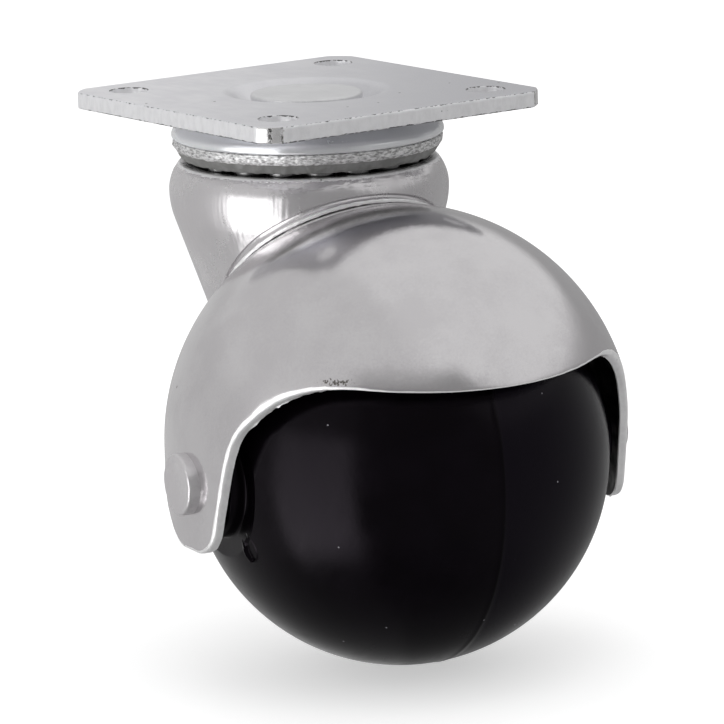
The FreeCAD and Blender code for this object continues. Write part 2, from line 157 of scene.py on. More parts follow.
# Hood
HOOD_RADIUS = 27.9
HOOD_THICKNESS = 1.2
DOME_RISE = 2.1
BROW_HEIGHT = 13.85
BROW_SLOPE = radians(6.3)
BROW_RADIUS = 10.2
SCOOP_SETBACK = 15.7
SCOOP_SLOPE = radians(47.0)
SCOOP_RADIUS = 7.4
EAR_FRONT = 7.5
EAR_SLOPE = radians(15.0)
EAR_DROP = 7.9
EAR_TOE_RADIUS = 4.0
EAR_HEEL = 2.9
EAR_HEEL_RADIUS = 6.0
REAR_SLOPE = radians(31.0)
REAR_EDGE_HEIGHT = 1.0
REAR_EDGE_RADIUS = 8.0
OUTLINE_MARGIN = 1.0
BROW_BEVEL = 0.14
EAR_BEVEL = 0.42
BEVEL_WANDER = 0.3
SCOOP_WEAR = 0.3
SCOOP_WEAR_PLACE = 2.0
SCOOP_WEAR_REACH = 5.0
HOOD_TEAR = 0.05
HOOD_BURR = 0.12
HOOD_RAGGED = 0.3
HOOD_RAGGED_BIAS = 0.1
SCAR = (-24.2, -37.7, -26.85)
SCAR_CORE = 0.3
SCAR_REACH = 5.0
SCAR_SQUASH = (1.0, 1.0, 5.5)

# Ball and rivet
BALL_RADIUS = 25.0
BALL_FLAT_RADIUS = 9.2
BALL_FLAT_MARGIN = 0.12
BALL_SKIN = 0.05
HUB_RADIUS = 6.8
HUB_END = 25.32
HUB_EDGE = 0.4
HUB_ROOT = 0.3
BORE_RADIUS = 3.08
BORE_MARGIN = 0.2
PARTING_OFFSET = 0.95
PARTING_HEIGHT = 0.06
PARTING_WIDTH = 0.4
PARTING_REACH = 4  # half widths of the ridge that are kept clear on each side of it
GATE_LENGTH = 3.4
GATE_WIDTH = 2.1
GATE_DEPTH = 0.4
GATE_SLOPE = 0.26
GATE_RIM = 0.1
GATE_RADIUS = 9.9
GATE_TURN = radians(47.6)
GATE_TWIST = radians(-59.0)
GATE_SPREAD = radians(15.0)
AXLE_RADIUS = 3.0
RIVET_HEAD_RADIUS = 3.65
RIVET_HEAD_THICKNESS = 1.25
RIVET_HEAD_EDGE = 0.35
# Share of the head's radius, depth below its top and rounding, from the middle outwards
RIVET_HEAD_DISH = ((0.0, 0.08, 0), (0.36, 0.1, 0.5), (0.5, 0.03, 0.5), (0.72, 0.06, 0.5), (0.8, 0.0, 0.3))
RIVET_SEAT_ROUND = 0.1
RIVET_TAIL_RADIUS = 4.1
RIVET_TAIL_THICKNESS = 1.6
RIVET_TAIL_DOME = 0.95
RIVET_DENT = 0.06

# Fineness of the meshes
ARC_STEP = 0.12
ARC_PIECES = (4, 24)
RUN_STEP = 0.5
PLATE_RUN_STEP = 0.3
RACE_RUN_STEP = 0.2
TURNED_COLUMNS = 288
HOLE_COLUMNS = 72
RIVET_COLUMNS = 144
KINGPIN_COLUMNS = 192
RACE_COLUMNS = 480
HORN_COLUMNS = 360
HOOD_COLUMNS = 480
HOOD_FINE_TURNS = 3600
HOOD_EVEN_SHARE = 0.25
BALL_COLUMNS = 300
GATE_COLUMNS = 72
PLATE_WALL_ROWS = 7
GROOVE_ROWS = 20
FILLET_ROWS = 8
HORN_OUTSIDE_ROWS = 70
HORN_INSIDE_ROWS = 24
HOOD_OUTSIDE_ROWS = 84
HOOD_BEVEL_ROWS = 4
HOOD_FACE_ROWS = 4
HOOD_INSIDE_ROWS = 40
BALL_GATE_ROWS = 64
BALL_LEFT_ROWS = 54
BALL_RIGHT_ROWS = 80
HALVINGS = 34
MERGE = 0.00001
SHARP = radians(38.0)

# The axle's place and direction come from the frame: they carry the swivel's turn about the plate.
axle_joint = next(joint for joint in frame["joints"] if joint["name"] == "ball_roll")
axle_centre = Vector(axle_joint["pos_m"]) / MM
axle_axis = Vector(axle_joint["axis"])
swivel_turn = Matrix.Rotation(atan2(axle_axis.y, axle_axis.x), 4, "Z")
trail = hypot(axle_centre.x, axle_centre.y)
axle_place = swivel_turn @ Matrix.Translation((0.0, -trail, axle_centre.z))
along_axle = axle_place @ Matrix.Rotation(pi / 2, 4, "Y")
dome_centre = Vector((0.0, -trail, axle_centre.z + DOME_RISE))
seam_distance = axle_centre.dot(axle_axis) + PARTING_OFFSET


def spread(start, span, count, last=False):
    """Evenly spaced values over a span, without its end unless the last is wanted."""
    return [start + span * step / count for step in range(count + last)]


def rounded(corners, run_step=RUN_STEP):
    """Points along (radius, height, rounding) corners, with an arc at each rounded corner."""
    anchors = []
    last = len(corners) - 1
    for index, (radius, height, rounding) in enumerate(corners):
        corner = Vector((radius, height))
        if rounding == 0 or index in (0, last):
            anchors.append(corner)
            continue
        before = (Vector(corners[index - 1][:2]) - corner).normalized()
        after = (Vector(corners[index + 1][:2]) - corner).normalized()
        half = before.angle(after) / 2
        reach = rounding / tan(half)
        centre = corner + (before + after).normalized() * (rounding / sin(half))
        start = (corner + before * reach - centre).normalized()
        end = (corner + after * reach - centre).normalized()
        fewest, most = ARC_PIECES
        pieces = min(max(fewest, ceil(rounding * start.angle(end) / ARC_STEP)), most)
        anchors += [centre + start.slerp(end, step / pieces) * rounding for step in range(pieces + 1)]
    points = [anchors[0]]
    for following in anchors[1:]:
        begin = points[-1]
        run = following - begin
        if run.length < MERGE:
            continue
        pieces = ceil(run.length / run_step)
        points += [begin + run * (step / pieces) for step in range(1, pieces + 1)]
    return points


def outward(points):
    """Unit normals of a path of (radius, height) points, to the left of its direction."""
    normals = []
    for index in range(len(points)):
        along = points[min(index + 1, len(points) - 1)] - points[max(index - 1, 0)]
        normals.append(Vector((-along.y, along.x)).normalized())
    return normals


def on_meridian(point, turn):
    """Point of a (radius, height) profile, turned about Z."""
    return Vector((point.x * cos(turn), point.x * sin(turn), point.y))


def rings(path, columns=TURNED_COLUMNS):
    """Ring of points about Z for each point of a (radius, height) path."""
    turns = spread(0.0, tau, columns)
    return [[on_meridian(point, turn) for turn in turns] for point in path]


def add_rows(mesh, rows, closed=False, material=0):
    """Quads between rings of points, each ring closed on itself; the last joins the first if closed."""
    made = [[mesh.verts.new(point) for point in row] for row in rows]
    pairs = list(zip(made, made[1:]))
    if closed:
        pairs.append((made[-1], made[0]))
    count = len(rows[0])
    for upper, lower in pairs:
        for column in range(count):
            following = (column + 1) % count
            face = mesh.faces.new((upper[column], upper[following], lower[following], lower[column]))
            face.material_index = material
    return made


def finish_piece(name, mesh, materials, body, nodes, place=Matrix.Identity(4)):
    """Makes the mesh an object in metres that stands for its CAD nodes and rides on their body."""
    bmesh.ops.remove_doubles(mesh, verts=mesh.verts, dist=MERGE)
    bmesh.ops.dissolve_degenerate(mesh, edges=mesh.edges, dist=MERGE)
    bmesh.ops.recalc_face_normals(mesh, faces=mesh.faces)
    mesh.transform(Matrix.Scale(MM, 4) @ place)
    data = bpy.data.meshes.new(name)
    mesh.to_mesh(data)
    mesh.free()
    data.shade_smooth()
    data.set_sharp_from_angle(angle=SHARP)
    for material in materials:
        data.materials.append(material)
    made = bpy.data.objects.new(name, data)
    bpy.context.scene.collection.objects.link(made)
    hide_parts(*nodes)
    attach(made, body)


def turned(corners, columns=TURNED_COLUMNS, closed=True, run_step=RUN_STEP):
    """Mesh turned about Z from (radius, height, rounding) corners."""
    mesh = bmesh.new()
    path = rounded(corners + corners[:1] if closed else corners, run_step)
    add_rows(mesh, rings(path, columns))
    return mesh


def wander(point, size, seed):
    """Smooth random value between about -1 and 1 that changes over the given size."""
    return noise.noise(point / size + Vector((seed, -seed, seed * 0.5)))


def ragged(point, size, fine_size, seed, fine_seed):
    """Random value with a coarse part and a weaker fine one."""
    return wander(point, size, seed) + wander(point, fine_size, fine_seed) / 2


def roughen(mesh, chosen, size, depth, seed):
    """Pushes the chosen points in along their normals, by up to about the depth."""
    mesh.normal_update()
    moves = []
    for vertex in mesh.verts:
        if chosen(vertex.co):
            dent = min(0.0, ragged(vertex.co, size, size / 3, seed, seed + 7) - 0.15)
            moves.append((vertex, vertex.normal * (depth * dent)))
    for vertex, move in moves:
        vertex.co += move


# Materials

UPRIGHT_MARKS = (1.0, 1.0, 0.12)
NICKEL_PIT = (0.16, 0.15, 0.14)
ZINC_PIT = (0.13, 0.12, 0.12)
SHEAR_PIT = (0.1, 0.1, 0.1)


def feed(socket, value):
    """Sets a socket to a value or an opaque colour, or links it from another socket."""
    if isinstance(value, bpy.types.NodeSocket):
        socket.id_data.links.new(value, socket)
    else:
        socket.default_value = (*value, 1.0) if socket.type == "RGBA" else value


def add(tree, kind, settings=None, **inputs):
    """Adds a node, with its settings and with inputs that are values or sockets to link from."""
    made = tree.nodes.new(kind)
    for name, value in (settings or {}).items():
        setattr(made, name, value)
    for name, value in inputs.items():
        wanted = name.replace("_", " ")
        feed(next(entry for entry in made.inputs if entry.name == wanted and entry.enabled), value)
    return made


def joined(kind, settings, *values):
    """Adds a node beside its first input's, feeds its inputs in order and returns its output."""
    made = add(values[0].id_data, kind, settings)
    for socket, value in zip([entry for entry in made.inputs if entry.enabled], values):
        feed(socket, value)
    return next(entry for entry in made.outputs if entry.enabled)


def math_node(operation, *values):
    return joined("ShaderNodeMath", {"operation": operation}, *values)


def vector_math(operation, *values):
    return joined("ShaderNodeVectorMath", {"operation": operation}, *values)


def mixed(share, first, second):
    """Colour between two others."""
    return joined("ShaderNodeMix", {"data_type": "RGBA"}, share, first, second)


def blended(share, first, second):
    """Number between two others."""
    return joined("ShaderNodeMix", {"data_type": "FLOAT"}, share, first, second)


def plus(base, extra, share):
    """Number with a share of another added."""
    return math_node("ADD", base, math_node("MULTIPLY", extra, share))


def along_direction(spot, direction):
    """Distance of a point along a direction."""
    return vector_math("DOT_PRODUCT", spot, direction)


def mapped(value, low, high, new_low=0.0, new_high=1.0):
    """Value carried smoothly from one range to another."""
    settings = {"interpolation_type": "SMOOTHSTEP"}
    return joined("ShaderNodeMapRange", settings, value, low, high, new_low, new_high)


def past(value, limit, softness, before=0.0, after=1.0):
    """Number that changes softly as a value passes a limit."""
    return mapped(value, limit - softness, limit + softness, before, after)


def between(value, low, high, softness):
    """One between two limits and zero outside them, with soft edges."""
    above = past(value, low, softness)
    return math_node("MULTIPLY", above, past(value, high, softness, 1.0, 0.0))


def noise_value(place, size, detail=3.0, roughness=0.55, stretch=None):
    """Noise whose features are about the given size in millimetres, drawn out by the stretch."""
    spot = place
    if stretch is not None:
        spot = add(place.id_data, "ShaderNodeMapping", Vector=place, Scale=stretch).outputs[0]
    settings = {"Scale": PER_MM / size, "Detail": detail, "Roughness": roughness}
    return add(place.id_data, "ShaderNodeTexNoise", Vector=spot, **settings).outputs["Fac"]


def specks(place, spacing, share, size):
    """Sparse round spots: one in each cell of the spacing, of which only the share is kept."""
    cells = add(place.id_data, "ShaderNodeTexVoronoi", Vector=place, Scale=PER_MM / spacing)
    spot = mapped(cells.outputs["Distance"], size * 0.6, size, 1.0, 0.0)
    draw = joined("ShaderNodeSeparateColor", {}, cells.outputs["Color"])
    kept = mapped(draw, 1.0 - share, 1.0 - share + 0.01)
    return math_node("MULTIPLY", spot, kept)


def start_material(name):
    material = bpy.data.materials.new(name)
    material.use_nodes = True
    place = add(material.node_tree, "ShaderNodeTexCoord").outputs["Object"]
    return material, material.node_tree.nodes["Principled BSDF"], place


def coat(shader, **inputs):
    """Sets or links the shader's inputs."""
    for name, value in inputs.items():
        feed(shader.inputs[name.replace("_", " ")], value)


def dress(shader, colour, rough, metallic, *bumps):
    """Gives the shader its surface and its bumps of (height, distance), each over the one before."""
    coat(shader, Base_Color=colour, Roughness=rough, Metallic=metallic)
    under = None
    for height, distance in bumps:
        made = add(shader.id_data, "ShaderNodeBump", Strength=1.0, Distance=distance * MM, Height=height)
        if under is not None:
            feed(made.inputs["Normal"], under)
        under = made.outputs[0]
    feed(shader.inputs["Normal"], under)


def scar_marks(place):
    """Small dark teeth in a strip along the hood's edge."""
    away = vector_math("SUBTRACT", place, Vector(SCAR) * MM)
    reach = vector_math("LENGTH", vector_math("MULTIPLY", away, SCAR_SQUASH))
    near = mapped(reach, SCAR_CORE * MM, SCAR_REACH * MM, 0.42, 0.0)
    teeth = noise_value(place, 0.3, detail=3.0, roughness=0.6)
    return mapped(math_node("ADD", near, teeth), 0.86, 0.92)


def nickel(name, light, dark, smooth, dull, metallic=1.0, brushed=0.004, scarred=False):
    """Bright nickel plate: haze, grain, polishing marks, orange peel and a few pits, and the scar."""
    material, shader, place = start_material(name)
    haze = noise_value(place, 9.0, detail=4.0)
    marks = noise_value(place, 0.9, detail=3.0, roughness=0.6, stretch=UPRIGHT_MARKS)
    pits = specks(place, 2.6, 0.14, 0.075)
    if scarred:
        pits = math_node("MAXIMUM", pits, scar_marks(place))
    grain = noise_value(place, 0.26, detail=2.0)
    cover = mapped(plus(haze, grain, 0.3), 0.5, 0.83)
    colour = mixed(pits, mixed(cover, light, dark), NICKEL_PIT)
    blend = plus(math_node("MULTIPLY", cover, 0.55), marks, 0.45)
    rough = plus(mapped(blend, 0.1, 0.9, smooth, dull), pits, 0.3)
    peel = noise_value(place, 1.6, detail=2.0)
    dents = noise_value(place, 7.0, detail=2.0)
    grooves = noise_value(place, 0.9, detail=1.0, stretch=UPRIGHT_MARKS)
    dress(shader, colour, rough, metallic, (peel, 0.012), (dents, 0.05), (grooves, brushed))
    return material


def torn_lips(place):
    """Ragged dark marks along the upper and lower lips of the plate's edge."""
    height = add(place.id_data, "ShaderNodeSeparateXYZ", Vector=place).outputs["Z"]
    height = math_node("MULTIPLY", height, PER_MM)
    from_middle = math_node("ABSOLUTE", math_node("ADD", height, PLATE_THICKNESS / 2))
    lip = mapped(from_middle, PLATE_THICKNESS * 0.36, PLATE_THICKNESS * 0.5, 0.0, 0.34)
    marks = math_node("ADD", noise_value(place, 0.55, detail=4.0), lip)
    return mapped(marks, 0.73, 0.81)


def sheared(name, light, dark, metallic, depth, stretch=None, torn=False):
    """Matt sheared steel edge: drawn-out tears and small pits, with ragged lips if torn."""
    material, shader, place = start_material(name)
    tear = noise_value(place, 0.8, detail=5.0, roughness=0.6, stretch=stretch)
    holes = specks(place, 0.9, 0.06, 0.12)
    if torn:
        holes = math_node("MAXIMUM", holes, torn_lips(place))
    colour = mixed(mapped(tear, 0.3, 0.65), dark, light)
    colour = mixed(holes, colour, SHEAR_PIT)
    rough = mapped(tear, 0.3, 0.7, 0.5, 0.28)
    dress(shader, colour, rough, metallic, (tear, depth), (holes, -0.08))
    return material


def zinc(name, light, dark, shaded_tone, smooth, dull):
    """Matt zinc plate with painted shade darkening it towards one side: soft blotches, grain, rolling
    streaks and a few dark pits.
    """
    material, shader, place = start_material(name)
    blotch = noise_value(place, 5.0, detail=5.0, roughness=0.6)
    streak = noise_value(place, 1.2, detail=4.0, roughness=0.65, stretch=(1.0, 0.15, 1.0))
    grain = noise_value(place, 0.22, detail=3.0, roughness=0.7)
    pits = specks(place, 2.2, 0.1, 0.09)
    cover = mapped(plus(blotch, streak, 0.5), 0.55, 0.95)
    # Painted shade: the colour darkens along this direction towards the given shaded tone.
    aside = along_direction(place, Vector((1.0, -1.0, 0.0)).normalized())
    painted_shade = mapped(aside, -SHADE_REACH * MM, SHADE_REACH * MM)
    colour = mixed(painted_shade, mixed(cover, light, dark), shaded_tone)
    colour = mixed(pits, colour, ZINC_PIT)
    rough = mapped(grain, 0.3, 0.7, smooth, dull)
    dress(shader, colour, rough, 1.0, (grain, 0.02), (streak, 0.02), (pits, -0.08))
    return material


def greased_steel(name, light, dark, smooth, dull, metallic=1.0):
    """Smooth steel with a thin uneven film of grease; the dark colours it is given are painted shade for
    pieces that sit in shadow.
    """
    material, shader, place = start_material(name)
    film = noise_value(place, 1.5, detail=3.0)
    colour = mixed(mapped(film, 0.35, 0.65), light, dark)
    rough = mapped(film, 0.3, 0.7, smooth, dull)
    dress(shader, colour, rough, metallic, (film, 0.004))
    return material


def clipped_corner():
    """Clipped corner of the plate: bright cut metal with two ragged dark lines down it."""
    material, shader, place = start_material("plate_clip")
    axes = add(place.id_data, "ShaderNodeSeparateXYZ", Vector=place).outputs
    widths = [math_node("ABSOLUTE", axes[axis]) for axis in "XY"]
    aside = math_node("SUBTRACT", *widths)
    tear = noise_value(place, 0.5, detail=5.0, roughness=0.65)
    aside = math_node("MULTIPLY", aside, PER_MM / PLATE_CORNER_CUT)
    wavering = math_node("ADD", aside, tear)
    middle = between(wavering, 0.47, 0.62, 0.04)
    side = between(wavering, -0.36, -0.2, 0.04)
    lines = math_node("MAXIMUM", middle, side)
    lines = math_node("MULTIPLY", lines, mapped(tear, 0.43, 0.53))
    colour = mixed(mapped(tear, 0.3, 0.7), (0.9, 0.895, 0.9), (0.74, 0.73, 0.73))
    colour = mixed(lines, colour, (0.07, 0.07, 0.065))
    rough = mapped(tear, 0.3, 0.7, 0.14, 0.28)
    dress(shader, colour, rough, 0.8, (tear, 0.012), (lines, -0.05))
    return material


def black_plastic():
    """Satin moulded plastic with a faint purple cast, a paler half past the seam, scuffs and dust."""
    material, shader, place = start_material("ball_plastic")
    along = along_direction(place, axle_axis)
    past_seam = math_node("SUBTRACT", along, seam_distance * MM)
    half = mapped(past_seam, 0.0, PARTING_WIDTH * MM)
    from_seam = math_node("ABSOLUTE", past_seam)
    seam = mapped(from_seam, 0.0, PARTING_WIDTH * 0.6 * MM, 1.0, 0.0)
    cloud = noise_value(place, 6.0, detail=4.0)
    scuff = noise_value(place, 0.7, detail=5.0, roughness=0.7, stretch=(1.0, 0.2, 0.2))
    dust = specks(place, 1.7, 0.2, 0.07)
    clouded = mapped(cloud, 0.3, 0.7)
    colour = mixed(clouded, (0.0012, 0.0007, 0.0013), (0.0022, 0.0014, 0.0026))
    colour = mixed(half, colour, (0.0036, 0.0027, 0.005))
    colour = mixed(seam, colour, (0.0004, 0.0003, 0.0004))
    colour = mixed(dust, colour, (0.34, 0.33, 0.36))
    blend = plus(math_node("MULTIPLY", cloud, 0.5), scuff, 0.5)
    rough = mapped(blend, 0.3, 0.7, 0.15, 0.28)
    coat(shader, IOR=1.5, Specular_IOR_Level=0.11, Specular_Tint=(0.96, 0.84, 1.0))
    skin = noise_value(place, 0.45, detail=3.0)
    dress(shader, colour, rough, 0.0, (skin, 0.006), (scuff, 0.004))
    return material


NICKEL = ((0.705, 0.688, 0.7), (0.645, 0.627, 0.64))
NICKEL_EDGE = ((0.97, 0.965, 0.97), (0.9, 0.895, 0.9))
# The hood's inside is coloured near-black as painted shade.
HOOD_INSIDE_SHADE = ((0.03, 0.029, 0.03), (0.018, 0.017, 0.018))
# The third colour of PLATE_ZINC and KINGPIN_STEEL is the painted shade tone on the darker side.
PLATE_ZINC = ((0.94, 0.935, 0.955), (0.855, 0.85, 0.878), (0.61, 0.608, 0.635))
PLATE_EDGE = ((0.95, 0.948, 0.965), (0.86, 0.858, 0.875))
COVER_ZINC = ((0.93, 0.942, 0.965), (0.85, 0.862, 0.885))
RACE_STEEL = ((1.0, 0.995, 1.0), (0.3, 0.295, 0.295))
KINGPIN_STEEL = ((0.88, 0.88, 0.89), (0.77, 0.77, 0.78), (0.72, 0.72, 0.73))
SHADED_BEARING_STEEL = ((0.26, 0.26, 0.26), (0.2, 0.2, 0.2))
SHADED_TRACK_STEEL = ((0.29, 0.29, 0.285), (0.24, 0.24, 0.233))

hood_nickel = nickel("hood_nickel", *NICKEL, 0.13, 0.24, scarred=True)
horn_nickel = nickel("horn_nickel", *NICKEL, 0.2, 0.36, metallic=0.8, brushed=0.05)
rivet_nickel = nickel("rivet_nickel", *NICKEL, 0.3, 0.5, metallic=0.7)
nickel_edge = sheared("nickel_edge", *NICKEL_EDGE, 0.45, 0.04)
shaded_hood_inside = greased_steel("shaded_hood_inside", *HOOD_INSIDE_SHADE, 0.4, 0.6)
plate_zinc = zinc("plate_zinc", *PLATE_ZINC, 0.34, 0.5)
plate_edge = sheared("plate_edge", *PLATE_EDGE, 0.4, 0.05, stretch=(1.0, 1.0, 0.45), torn=True)
plate_clip = clipped_corner()
cover_zinc = nickel("cover_zinc", *COVER_ZINC, 0.16, 0.28, metallic=0.65)
race_steel = sheared("race_steel", *RACE_STEEL, 0.6, 0.16, stretch=(1.3, 1.3, 3.6))
kingpin_steel = zinc("kingpin_steel", *KINGPIN_STEEL, 0.4, 0.58)
bearing_steel = greased_steel("bearing_steel", *SHADED_BEARING_STEEL, 0.2, 0.34)
shaded_track_steel = greased_steel("shaded_track_steel", *SHADED_TRACK_STEEL, 0.45, 0.65, metallic=0.3)
ball_plastic = black_plastic()


# Pieces of the fixed plate


def across_corner(point):
    """Place along a clipped corner: from -1 to 1 on the cut, and beyond that on the sides."""
    return (abs(point.x) - abs(point.y)) / PLATE_CORNER_CUT


def plate_outline():
    """Points round the plate, clockwise from above, and their normals, with slightly bulging corners."""
    half = PLATE_SIDE / 2
    clip = half - PLATE_CORNER_CUT
    right = [(clip, half), (half, clip), (half, -clip), (clip, -half)]
    left = [(-x, y) for x, y in reversed(right)]
    corners = [(x, y, PLATE_CORNER_RADIUS) for x, y in right + left]
    middle = (0.0, half, 0)
    points = rounded([middle] + corners + [middle], PLATE_RUN_STEP)[:-1]
    normals = outward(points)
    for point, normal in zip(points, normals):
        point += normal * PLATE_CORNER_BULGE * max(0.0, 1.0 - across_corner(point) ** 2)
    return points, normals


def plate_ring(outline, inset, height):
    """Ring of points round the plate, inset from its outline."""
    lift = Vector((0, 0, height))
    return [(point - normal * inset).to_3d() + lift for point, normal in zip(*outline)]


def fill_between(mesh, loops):
    """Flat faces inside the first loop of points and outside the others."""
    edges = []
    for loop in loops:
        for first, second in zip(loop, loop[1:] + loop[:1]):
            edges.append(mesh.edges.get((first, second)) or mesh.edges.new((first, second)))
    bmesh.ops.triangle_fill(mesh, use_beauty=True, use_dissolve=False, edges=edges)


def add_plate_edge(mesh):
    """Rounded, sheared and torn edge of the plate; returns its rows of points from the top down."""
    outline = plate_outline()
    side = [plate_ring(outline, PLATE_MARGIN, 0.0)]
    for inset, depth in PLATE_ROUND:
        side.append(plate_ring(outline, PLATE_TOP_EDGE * inset, -PLATE_TOP_EDGE * depth))
    wall_top = -PLATE_TOP_EDGE * PLATE_ROUND_REACH
    wall_foot = -PLATE_THICKNESS + PLATE_FOOT_EDGE
    for height in spread(wall_top, wall_foot - wall_top, PLATE_WALL_ROWS, last=True):
        side.append(plate_ring(outline, 0.0, height))
    side.append(plate_ring(outline, PLATE_FOOT_EDGE, -PLATE_THICKNESS))
    side.append(plate_ring(outline, PLATE_MARGIN, -PLATE_THICKNESS))
    made = add_rows(mesh, side)
    for row in made[2:-1]:
        for vertex in row:
            tear = PLATE_TEAR * (ragged(vertex.co, 0.7, 0.25, 3, 5) + PLATE_TEAR_BIAS)
            inward = Vector((-vertex.co.x, -vertex.co.y, 0)).normalized()
            vertex.co += inward * max(0.0, tear) * (abs(across_corner(vertex.co)) > 0.9)
    for face in mesh.faces:
        middle = face.calc_center_median()
        if middle.z < -PLATE_TOP_EDGE * 0.2 and abs(face.normal.z) < 0.8:
            clip = 0.85 + 0.15 * wander(middle, 0.4, 9)
            face.material_index = 2 if abs(across_corner(middle)) < clip else 1
    return made


def add_hole(mesh, centre):
    """Punched hole through the plate; returns its rows of points from the top down."""
    path = rounded([
        (HOLE_RADIUS + HOLE_ROLLOVER, 0.0, 0),
        (HOLE_RADIUS, 0.0, HOLE_ROLLOVER * 0.98),
        (HOLE_RADIUS, -PLATE_THICKNESS * HOLE_BREAKOUT, 0),
        (HOLE_RADIUS + PLATE_FOOT_EDGE, -PLATE_THICKNESS, 0),
    ])
    rows = [[point + centre for point in row] for row in rings(path, HOLE_COLUMNS)]
    made = add_rows(mesh, rows, material=1)
    for row in made[1:-1]:
        for vertex in row:
            outwards = (vertex.co - centre).normalized()
            vertex.co += outwards * HOLE_TEAR * ragged(vertex.co, 0.6, 0.2, 11, 13)
    return made


def build_top_plate():
    mesh = bmesh.new()
    openings = [add_plate_edge(mesh)]
    dish = rounded([
        (DISH_EDGE_RADIUS, 0.0, 0),
        (DISH_RADIUS, 0.0, DISH_BEND_RADIUS + PLATE_THICKNESS / 2),
        (DISH_FLOOR_RADIUS, DISH_FLOOR, DISH_BEND_RADIUS),
        (NECK_RADIUS, DISH_FLOOR, 0),
        (NECK_RADIUS, BOSS_BOTTOM, 0),
        (DISH_FLOOR_RADIUS + BOSS_SHIFT, BOSS_BOTTOM, DISH_BEND_RADIUS),
        (DISH_EDGE_RADIUS - BOSS_SHIFT, -PLATE_THICKNESS, 0),
        (DISH_EDGE_RADIUS, -PLATE_THICKNESS, 0),
    ])
    openings.append(add_rows(mesh, rings(dish)))
    for x in (-1, 1):
        for y in (-1, 1):
            openings.append(add_hole(mesh, Vector((x * HOLE_SPACING / 2, y * HOLE_SPACING / 2, 0))))
    fill_between(mesh, [rows[0] for rows in openings])
    fill_between(mesh, [rows[-1] for rows in openings])
    materials = [plate_zinc, plate_edge, plate_clip]
    finish_piece("plate_pressing", mesh, materials, "plate", ["top_plate"])


def build_dust_cover():
    outside = rounded([
        (COVER_COLLAR, -PLATE_THICKNESS, 0),
        (COVER_SHOULDER, -PLATE_THICKNESS, COVER_BEND_RADIUS),
        (COVER_RADIUS, COVER_LIP_TOP, COVER_LIP_BEND),
        (COVER_RADIUS, RACE_RIM_TOP + COVER_LIP_ROUND, COVER_LIP_ROUND),
        (COVER_RADIUS - COVER_LIP_ROUND, RACE_RIM_TOP, 0),
    ])
    inside = [point - normal * COVER_THICKNESS for point, normal in zip(outside, outward(outside))]
    mesh = bmesh.new()
    add_rows(mesh, rings(outside + inside[::-1]), closed=True)
    finish_piece("cover_saucer", mesh, [cover_zinc], "plate", ["dust_cover"])


def ball_groove(edge_height, sweep):
    """Corners along the groove that the bearing balls run in, from its outer to its inner edge."""
    lean = asin((edge_height - BEARING_HEIGHT) / GROOVE_RADIUS)
    corners = []
    for turn in spread(lean, sweep - 2 * lean, GROOVE_ROWS, last=True):
        across = PITCH_RADIUS + GROOVE_RADIUS * cos(turn)
        corners.append((across, BEARING_HEIGHT + GROOVE_RADIUS * sin(turn), 0))
    return corners


def build_upper_race():
    groove_half = sqrt(GROOVE_RADIUS**2 - (RACE_BOTTOM - BEARING_HEIGHT) ** 2)
    inner_step = RACE_STEP_RADIUS - RACE_STEP
    edge_bottom = RACE_RIM_TOP - RACE_EDGE_HEIGHT
    top_round, edge_round, foot_round = RACE_EDGE_ROUNDS
    mesh = turned([
        (NECK_RADIUS, BOSS_BOTTOM, 0),
        (inner_step, BOSS_BOTTOM, RACE_STEP_ROUND),
        (RACE_STEP_RADIUS, RACE_RIM_TOP, RACE_STEP_ROUND),
        (RACE_RADIUS, RACE_RIM_TOP, top_round),
        (RACE_RADIUS, edge_bottom, edge_round),
        (RACE_BOTTOM_RADIUS, RACE_BOTTOM, foot_round),
        *ball_groove(RACE_BOTTOM, pi),
        (PITCH_RADIUS - groove_half - GROOVE_LAND, RACE_BOTTOM, 0),
        (inner_step - RACE_STEP / 2, RACE_CENTRE_BOTTOM, 0),
        (NECK_RADIUS, RACE_CENTRE_BOTTOM, 0),
    ], columns=RACE_COLUMNS, run_step=RACE_RUN_STEP)
    # Painted shade: the race's lower faces below its bright lip get the darker greased track steel.
    for face in mesh.faces:
        if face.calc_center_median().z < edge_bottom - RACE_BRIGHT_LIP:
            face.material_index = 1

    def on_edge(point):
        outside = hypot(point.x, point.y) > RACE_BOTTOM_RADIUS - 0.1
        return outside and point.z < RACE_RIM_TOP - 0.1

    roughen(mesh, on_edge, 0.9, RACE_TEAR, 21)
    finish_piece("race_ring", mesh, [race_steel, shaded_track_steel], "plate", ["upper_race"])


def build_kingpin():
    foot_top_round, foot_round = KINGPIN_FOOT_EDGES
    mesh = turned([
        (0.0, KINGPIN_HEAD_TOP, 0),
        (KINGPIN_HEAD_RADIUS, KINGPIN_HEAD_TOP, KINGPIN_HEAD_EDGE),
        (KINGPIN_HEAD_RADIUS, DISH_FLOOR, 0),
        (NECK_RADIUS, DISH_FLOOR, 0),
        (NECK_RADIUS, RACE_CENTRE_BOTTOM, 0),
        (KINGPIN_SHANK_RADIUS, RACE_CENTRE_BOTTOM, 0),
        (KINGPIN_SHANK_RADIUS, KINGPIN_FOOT_TOP, 0),
        (KINGPIN_FOOT_RADIUS, KINGPIN_FOOT_TOP, foot_top_round),
        (KINGPIN_FOOT_RADIUS, KINGPIN_BOTTOM, foot_round),
        (0.0, KINGPIN_BOTTOM, 0),
    ], columns=KINGPIN_COLUMNS, closed=False)
    roughen(mesh, lambda point: point.z > DISH_FLOOR / 2, 1.6, KINGPIN_DENT, 31)
    finish_piece("kingpin_rivet", mesh, [kingpin_steel], "plate", ["kingpin"])


# Pieces that swivel


